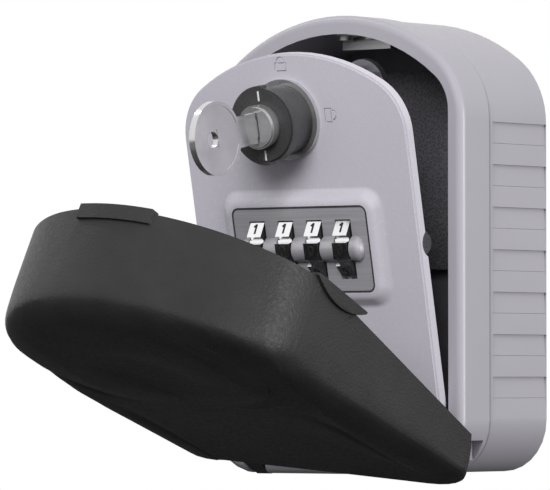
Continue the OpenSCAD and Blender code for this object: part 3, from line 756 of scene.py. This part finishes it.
@dataclass
class CoverGroup:
    """The soft hood that hangs on the case's hinge pin."""

    edge_round: float = 0.45 * MM
    edge_steps: int = 2
    crease_angle: float = 64.0
    join_angle: float = math.radians(30.0)
    join_shape: float = math.radians(70.0)
    skin_levels: int = 2
    hinge: Vector = field(default_factory=lambda: Vector(HINGE))
    open_angle: float = math.radians(63.5)
    hinge_end: float = 14.0 * MM
    face_from: float = 6.5 * MM
    smooth_factor: float = 0.5
    face_passes: int = 12
    fold_angle: float = math.radians(24.0)
    first_reach: float = 8.0 * MM
    later_reach: float = 6.0 * MM
    fold_passes: int = 110
    fold_rounds: int = 7

    def measure(self, point: Vector) -> tuple[float, float]:
        """How far a point lies out from the hinge line and up the open hood, in metres."""
        arm = point - self.hinge
        out = Vector((0.0, -math.cos(self.open_angle), -math.sin(self.open_angle)))
        up = Vector((0.0, -math.sin(self.open_angle), math.cos(self.open_angle)))
        return arm.dot(out), arm.dot(up)

    def ease(self, hood: bpy.types.Object) -> None:
        """Round the facets of the moulded skin and leave its rim, arms and eyes as they are.

        Args:
            hood: the hood's mesh.
        """
        only(hood)
        bpy.ops.object.mode_set(mode="EDIT")
        bpy.ops.mesh.select_mode(type="FACE")
        bpy.ops.mesh.select_all(action="SELECT")
        bpy.ops.mesh.quads_convert_to_tris(quad_method="BEAUTY", ngon_method="BEAUTY")
        bpy.ops.mesh.select_all(action="DESELECT")
        bpy.ops.object.mode_set(mode="OBJECT")
        spots = [self.measure(v.co) for v in hood.data.vertices]
        for face in hood.data.polygons:
            face.select = all(spots[i][1] > self.hinge_end for i in face.vertices)
        bpy.ops.object.mode_set(mode="EDIT")
        bpy.ops.mesh.tris_convert_to_quads(face_threshold=self.join_angle, shape_threshold=self.join_shape)
        bpy.ops.mesh.select_mode(type="EDGE")
        bpy.ops.mesh.select_all(action="DESELECT")
        bpy.ops.mesh.edges_select_sharp(sharpness=math.radians(self.crease_angle))
        bpy.ops.object.mode_set(mode="OBJECT")
        for edge in hood.data.edges:
            ends = [spots[i] for i in edge.vertices]
            if all(up < self.hinge_end for _, up in ends):
                edge.select = True
            elif all(out > self.face_from for out, _ in ends):
                edge.select = False
        bpy.ops.object.mode_set(mode="EDIT")
        bpy.ops.transform.edge_crease(value=1.0)
        bpy.ops.object.mode_set(mode="OBJECT")
        skin = hood.modifiers.new("skin", "SUBSURF")
        skin.levels = self.skin_levels
        skin.render_levels = self.skin_levels
        finish_modifiers(hood)
        self.fair_face(hood)

    def fair_face(self, hood: bpy.types.Object) -> None:
        """Blend the pressed hollows of the front face into it.

        Args:
            hood: the hood's mesh.
        """
        face = []
        for v in hood.data.vertices:
            out, up = self.measure(v.co)
            if out > self.face_from and up > self.hinge_end:
                face.append(v.index)
        hood.vertex_groups.new(name="front_face").add(face, 1.0, "REPLACE")
        self.smooth(hood, "front_face", self.face_passes)
        for turn in range(self.fold_rounds):
            reach = self.later_reach if turn else self.first_reach
            self.unfold(hood, face, reach)

    def unfold(self, hood: bpy.types.Object, face: list[int], reach: float) -> None:
        """Smooth the front face round its sharp turns.

        Args:
            hood: the hood's mesh.
            face: the numbers of the front face's vertices.
            reach: distance from a sharp turn at which the smoothing fades out, in metres.
        """
        folds = self.fold_points(hood, set(face))
        if not folds:
            return
        tree = KDTree(len(folds))
        for index, point in enumerate(folds):
            tree.insert(point, index)
        tree.balance()
        group = hood.vertex_groups.new(name="folds")
        for index in face:
            distance = tree.find(hood.data.vertices[index].co)[2]
            if distance < reach:
                group.add([index], 1.0 - distance / reach, "REPLACE")
        self.smooth(hood, group.name, self.fold_passes)
        hood.vertex_groups.clear()

    def fold_points(self, hood: bpy.types.Object, face: set[int]) -> list[Vector]:
        """Places on the front face where the skin still turns sharply.

        Args:
            hood: the hood's mesh.
            face: the numbers of the front face's vertices.

        Returns:
            The middle of each sharp edge.
        """
        mesh = hood.data
        sides: dict[tuple[int, int], Vector] = {}
        folds = []
        for polygon in mesh.polygons:
            for key in polygon.edge_keys:
                if not face.issuperset(key):
                    continue
                other = sides.pop(key, None)
                if other is None:
                    sides[key] = polygon.normal.copy()
                elif other.angle(polygon.normal, 0.0) > self.fold_angle:
                    folds.append((mesh.vertices[key[0]].co + mesh.vertices[key[1]].co) / 2)
        LOG.info("hood: %d sharp edges on the front face", len(folds))
        return folds

    def smooth(self, hood: bpy.types.Object, group: str, passes: int) -> None:
        """Smooth the vertices of one group.

        Args:
            hood: the hood's mesh.
            group: the vertex group's name.
            passes: how many times the smoothing is repeated.
        """
        fair = hood.modifiers.new("fair", "SMOOTH")
        fair.factor = self.smooth_factor
        fair.iterations = passes
        fair.vertex_group = group
        finish_modifiers(hood)

    def build(self, nodes: dict[str, bpy.types.Object], palette: Palette) -> list[bpy.types.Object]:
        """Make and dress the hood.

        Args:
            nodes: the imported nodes.
            palette: the finishes.

        Returns:
            The new pieces.
        """
        hood = merged_copy(nodes["weather_cover"], "rubber_hood")
        self.ease(hood)
        soften(hood, self.edge_round, self.edge_steps, self.crease_angle)
        palette.dress(hood, palette.finishes[Slot.RUBBER])
        place_piece(hood, Body.COVER, Slot.RUBBER, "weather_cover")
        return [hood]


@dataclass
class NumberWheels:
    """The printed figures on the four number wheels."""

    plane: DoorPlane = field(default_factory=DoorPlane)
    count: int = 4
    figures: int = 10
    pitch: float = 9.5 * MM
    radius: float = 9.95 * MM
    axis_up: float = 55.7 * MM
    axis_out: float = -0.6 * MM
    height: float = 3.9 * MM
    boldness: float = 0.08 * MM
    relief: float = 0.04 * MM
    curve_steps: int = 6
    bevel_steps: int = 1
    flag_size: Pair = (0.42 * MM, 1.05 * MM)
    flag_place: Pair = (-0.36 * MM, 1.12 * MM)
    flag_turn: float = math.radians(-45.0)
    merge_gap: float = 0.0005 * MM

    def figure(self, number: int, wheel: int) -> bpy.types.Object:
        """One figure on its flat of a wheel.

        Args:
            number: the figure, 0 to 9.
            wheel: the wheel from the left, 0 to 3.

        Returns:
            The figure as a mesh in place.
        """
        bpy.ops.object.select_all(action="DESELECT")
        bpy.ops.object.text_add()
        text = bpy.context.view_layer.objects.active
        text.data.body = str(number)
        text.data.size = self.height
        text.data.extrude = self.relief
        text.data.bevel_depth = self.boldness
        text.data.bevel_resolution = self.bevel_steps
        text.data.align_x = "CENTER"
        text.data.align_y = "CENTER"
        text.data.resolution_u = self.curve_steps
        bpy.ops.object.convert(target="MESH")
        piece = active(f"figure_{wheel}_{number}")
        self.seat(piece, number, wheel)
        return piece

    def flag(self, wheel: int) -> bpy.types.Object:
        """The slanted stroke at the top of the figure one, on its flat of a wheel."""
        bpy.ops.object.select_all(action="DESELECT")
        bpy.ops.mesh.primitive_cube_add(size=1.0)
        piece = active(f"flag_{wheel}")
        piece.scale = (*self.flag_size, 2 * (self.relief + self.boldness))
        piece.rotation_euler = (0.0, 0.0, self.flag_turn)
        piece.location = (*self.flag_place, 0.0)
        settle(piece)
        self.seat(piece, 1, wheel)
        return piece

    def seat(self, piece: bpy.types.Object, number: int, wheel: int) -> None:
        """Lay a flat piece on the flat that bears a figure.

        Args:
            piece: the piece, flat at the origin.
            number: the figure of the flat.
            wheel: the wheel from the left, 0 to 3.
        """
        angle = math.radians(360.0 / self.figures * number)
        out, _ = self.plane.turned(angle)
        x = (wheel - (self.count - 1) / 2) * self.pitch
        centre = self.plane.point(x, self.axis_out, self.axis_up) + out * self.radius
        piece.matrix_world = self.plane.matrix(centre, angle)
        settle(piece)

    def build(self, nodes: dict[str, bpy.types.Object], palette: Palette) -> list[bpy.types.Object]:
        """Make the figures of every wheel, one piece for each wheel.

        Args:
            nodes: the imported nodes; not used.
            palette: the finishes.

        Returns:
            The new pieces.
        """
        pieces = []
        for wheel in range(self.count):
            parts = [self.figure(number, wheel) for number in range(self.figures)]
            parts.append(self.flag(wheel))
            piece = joined(parts, f"wheel_figures_{wheel + 1}")
            bpy.ops.object.mode_set(mode="EDIT")
            bpy.ops.mesh.select_all(action="SELECT")
            bpy.ops.mesh.remove_doubles(threshold=self.merge_gap)
            bpy.ops.mesh.normals_make_consistent(inside=False)
            bpy.ops.object.mode_set(mode="OBJECT")
            palette.dress(piece, palette.dark_ink)
            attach(piece, f"wheel_{wheel + 1}")
            LOG.info("%s rides on wheel_%d", piece.name, wheel + 1)
            pieces.append(piece)
        return pieces


@dataclass
class DialGasket:
    """A thin black strip round the dial plate, painted shade of the dark groove at the plate's edge."""

    plane: DoorPlane = field(default_factory=DoorPlane)
    face: float = 6.5 * MM
    corner: float = 2.0 * MM
    corner_steps: int = 6
    width: float = 0.4 * MM
    relief: float = 0.1 * MM

    def build(self, nodes: dict[str, bpy.types.Object], palette: Palette) -> list[bpy.types.Object]:
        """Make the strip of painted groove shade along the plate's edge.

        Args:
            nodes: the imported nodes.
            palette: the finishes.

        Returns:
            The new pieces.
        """
        plate = nodes["dial_faceplate"].data.vertices
        half = max(abs(v.co.x) for v in plate)
        rises = [(v.co - self.plane.hinge).dot(self.plane.up) for v in plate]
        bpy.ops.object.select_all(action="DESELECT")
        bpy.ops.mesh.primitive_plane_add(size=1.0)
        groove_shade = active("dial_groove_shade")
        groove_shade.scale = (2 * half, max(rises) - min(rises), 1.0)
        settle(groove_shade)
        bpy.ops.object.mode_set(mode="EDIT")
        bpy.ops.mesh.select_all(action="SELECT")
        bpy.ops.mesh.bevel(offset=self.corner, segments=self.corner_steps, affect="VERTICES")
        bpy.ops.mesh.select_all(action="SELECT")
        bpy.ops.mesh.inset(thickness=self.width)
        bpy.ops.mesh.delete(type="FACE")
        bpy.ops.object.mode_set(mode="OBJECT")
        wall = groove_shade.modifiers.new("wall", "SOLIDIFY")
        wall.thickness = self.relief
        wall.offset = 0.0
        finish_modifiers(groove_shade)
        middle = (max(rises) + min(rises)) / 2
        groove_shade.matrix_world = self.plane.matrix(self.plane.point(0.0, self.face, middle))
        settle(groove_shade)
        # black plastic colour on the strip: painted shade of the groove
        palette.dress(groove_shade, palette.finishes[Slot.PLASTIC])
        place_piece(groove_shade, Body.DOOR, Slot.PLASTIC)
        return [groove_shade]


@dataclass
class KnobMarks:
    """The white index lines let into the front of the turning knob."""

    plane: DoorPlane = field(default_factory=DoorPlane)
    lock_x: float = -1.5 * MM
    lock_up: float = 90.4 * MM
    inner: float = 6.6 * MM
    outer: float = 9.2 * MM
    width: float = 0.55 * MM
    relief: float = 0.06 * MM
    edge_round: float = 0.03 * MM
    edge_steps: int = 2

    def build(self, nodes: dict[str, bpy.types.Object], palette: Palette) -> list[bpy.types.Object]:
        """Make the two lines as one piece.

        Args:
            nodes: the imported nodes.
            palette: the finishes.

        Returns:
            The new pieces.
        """
        grip = nodes["knob_grip"].data
        face = max((v.co - self.plane.hinge).dot(self.plane.out) for v in grip.vertices)
        lines = []
        for side in (1.0, -1.0):
            bpy.ops.object.select_all(action="DESELECT")
            bpy.ops.mesh.primitive_cube_add(size=1.0)
            line = active("index_line")
            size = Matrix.Diagonal((self.width, self.outer - self.inner, self.relief * 2, 1.0))
            middle = side * (self.outer + self.inner) / 2
            centre = self.plane.point(self.lock_x, face, self.lock_up) + self.plane.up * middle
            line.matrix_world = self.plane.matrix(centre) @ size
            settle(line)
            bpy.ops.object.mode_set(mode="EDIT")
            bpy.ops.mesh.select_all(action="SELECT")
            bpy.ops.mesh.bevel(offset=self.edge_round, segments=self.edge_steps)
            bpy.ops.object.mode_set(mode="OBJECT")
            lines.append(line)
        piece = joined(lines, "knob_index_lines")
        palette.dress(piece, palette.pale_ink)
        place_piece(piece, Body.KNOB, None)
        return [piece]


# studio


@dataclass(frozen=True)
class Softbox:
    """One soft area light aimed at the cabinet."""

    name: str
    place: tuple[float, float, float]
    size: tuple[float, float]
    power: float
    aim: tuple[float, float, float] = (0.0, -0.05, -0.01)
    highlight: bool = True

    def build(self) -> None:
        """Add the light to the scene."""
        data = bpy.data.lights.new(self.name, "AREA")
        data.shape = "RECTANGLE"
        data.size, data.size_y = self.size
        data.energy = self.power
        light = bpy.data.objects.new(self.name, data)
        bpy.context.scene.collection.objects.link(light)
        light.location = self.place
        direction = Vector(self.aim) - Vector(self.place)
        light.rotation_euler = direction.to_track_quat("-Z", "Y").to_euler()
        light.visible_camera = False
        light.visible_glossy = self.highlight


@dataclass
class Studio:
    """Camera, world, floor and lights."""

    lens: float = 360.0
    sensor: float = 36.0
    camera_place: Vector = field(default_factory=lambda: Vector((0.88803, -1.201419, -0.035422)))
    camera_right: Vector = field(default_factory=lambda: Vector((0.78782, 0.6159, -0.00074)))
    camera_up: Vector = field(default_factory=lambda: Vector((0.01545, -0.01856, 0.99971)))
    ambient: float = 0.34
    floor_drop: float = -0.16
    floor_half: float = 1.5
    floor_dark: Colour = (0.1, 0.1, 0.1)
    floor_seen: Colour = (0.84, 0.84, 0.84)
    near_clip: float = 0.01
    far_clip: float = 50.0
    lights: tuple[Softbox, ...] = (
        Softbox("key_softbox", (0.39, -1.08, 0.61), (0.65, 0.65), 14.2, highlight=False),
        Softbox("side_softbox", (1.25, 0.15, 0.05), (0.22, 0.45), 7.6),
        Softbox("edge_strip", (1.13, -0.58, 0.05), (0.05, 0.7), 1.6),
        Softbox("top_strip", (-0.75, -0.1, 1.0), (0.06, 0.9), 2.5),
    )

    def build(self) -> None:
        """Set up the whole studio."""
        self.camera()
        self.world()
        self.floor()
        for light in self.lights:
            light.build()
        bpy.context.scene.view_settings.view_transform = "Standard"

    def camera(self) -> None:
        """Stand the camera where the picture was taken from."""
        data = bpy.data.cameras.new("camera")
        data.lens = self.lens
        data.sensor_width = self.sensor
        data.sensor_fit = "HORIZONTAL"
        data.clip_start = self.near_clip
        data.clip_end = self.far_clip
        camera = bpy.data.objects.new("camera", data)
        bpy.context.scene.collection.objects.link(camera)
        right = self.camera_right.normalized()
        back = right.cross(self.camera_up).normalized()
        turn = Matrix((right, back.cross(right), back)).transposed()
        camera.matrix_world = Matrix.Translation(self.camera_place) @ turn.to_4x4()
        bpy.context.scene.camera = camera

    def world(self) -> None:
        """A white background for the eye and for reflections, and a dimmer fill light."""
        world = bpy.data.worlds.new("studio_world")
        bpy.context.scene.world = world
        world.use_nodes = True
        tree = world.node_tree
        tree.nodes.clear()
        path = tree.nodes.new("ShaderNodeLightPath")
        seen = path.outputs["Is Camera Ray"]
        for name in ("Is Glossy Ray", "Is Transmission Ray"):
            either = tree.nodes.new("ShaderNodeMath")
            either.operation = "MAXIMUM"
            tree.links.new(seen, either.inputs[0])
            tree.links.new(path.outputs[name], either.inputs[1])
            seen = either.outputs[0]
        fill = tree.nodes.new("ShaderNodeBackground")
        fill.inputs["Color"].default_value = WHITE
        fill.inputs["Strength"].default_value = self.ambient
        white = tree.nodes.new("ShaderNodeBackground")
        white.inputs["Color"].default_value = WHITE
        white.inputs["Strength"].default_value = 1.0
        mix = tree.nodes.new("ShaderNodeMixShader")
        tree.links.new(seen, mix.inputs[0])
        tree.links.new(fill.outputs[0], mix.inputs[1])
        tree.links.new(white.outputs[0], mix.inputs[2])
        output = tree.nodes.new("ShaderNodeOutputWorld")
        tree.links.new(mix.outputs[0], output.inputs["Surface"])

    def floor(self) -> None:
        """A floor below the cabinet that is pale to the eye and dark to other rays."""
        bpy.ops.object.select_all(action="DESELECT")
        place = (0.0, 0.0, self.floor_drop)
        bpy.ops.mesh.primitive_plane_add(size=2 * self.floor_half, location=place)
        floor = active("floor")
        settle(floor)
        g = Graph("pale_floor")
        eye = g.node("ShaderNodeLightPath").outputs["Is Camera Ray"]
        g.tint(eye, self.floor_dark, self.floor_seen)
        g.constants(Roughness=0.8, Specular_IOR_Level=0.1)
        floor.data.materials.append(g.material)


def clear_scene() -> None:
    """Remove whatever the start-up file holds."""
    for thing in list(bpy.data.objects):
        bpy.data.objects.remove(thing)


def main() -> None:
    """Build the cabinet's looks and its studio."""
    logging.basicConfig(level=logging.INFO, format="%(name)s: %(message)s")
    clear_scene()
    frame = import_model()
    nodes = frame["nodes"]
    palette = Palette()
    palette.dress_nodes(nodes)
    for group in (CaseGroup(), DoorGroup(), CoverGroup(), NumberWheels(), DialGasket(), KnobMarks()):
        made = group.build(nodes, palette)
        LOG.info("%s: %d pieces", type(group).__name__, len(made))
    Studio().build()


if __name__ == "__main__":
    main()
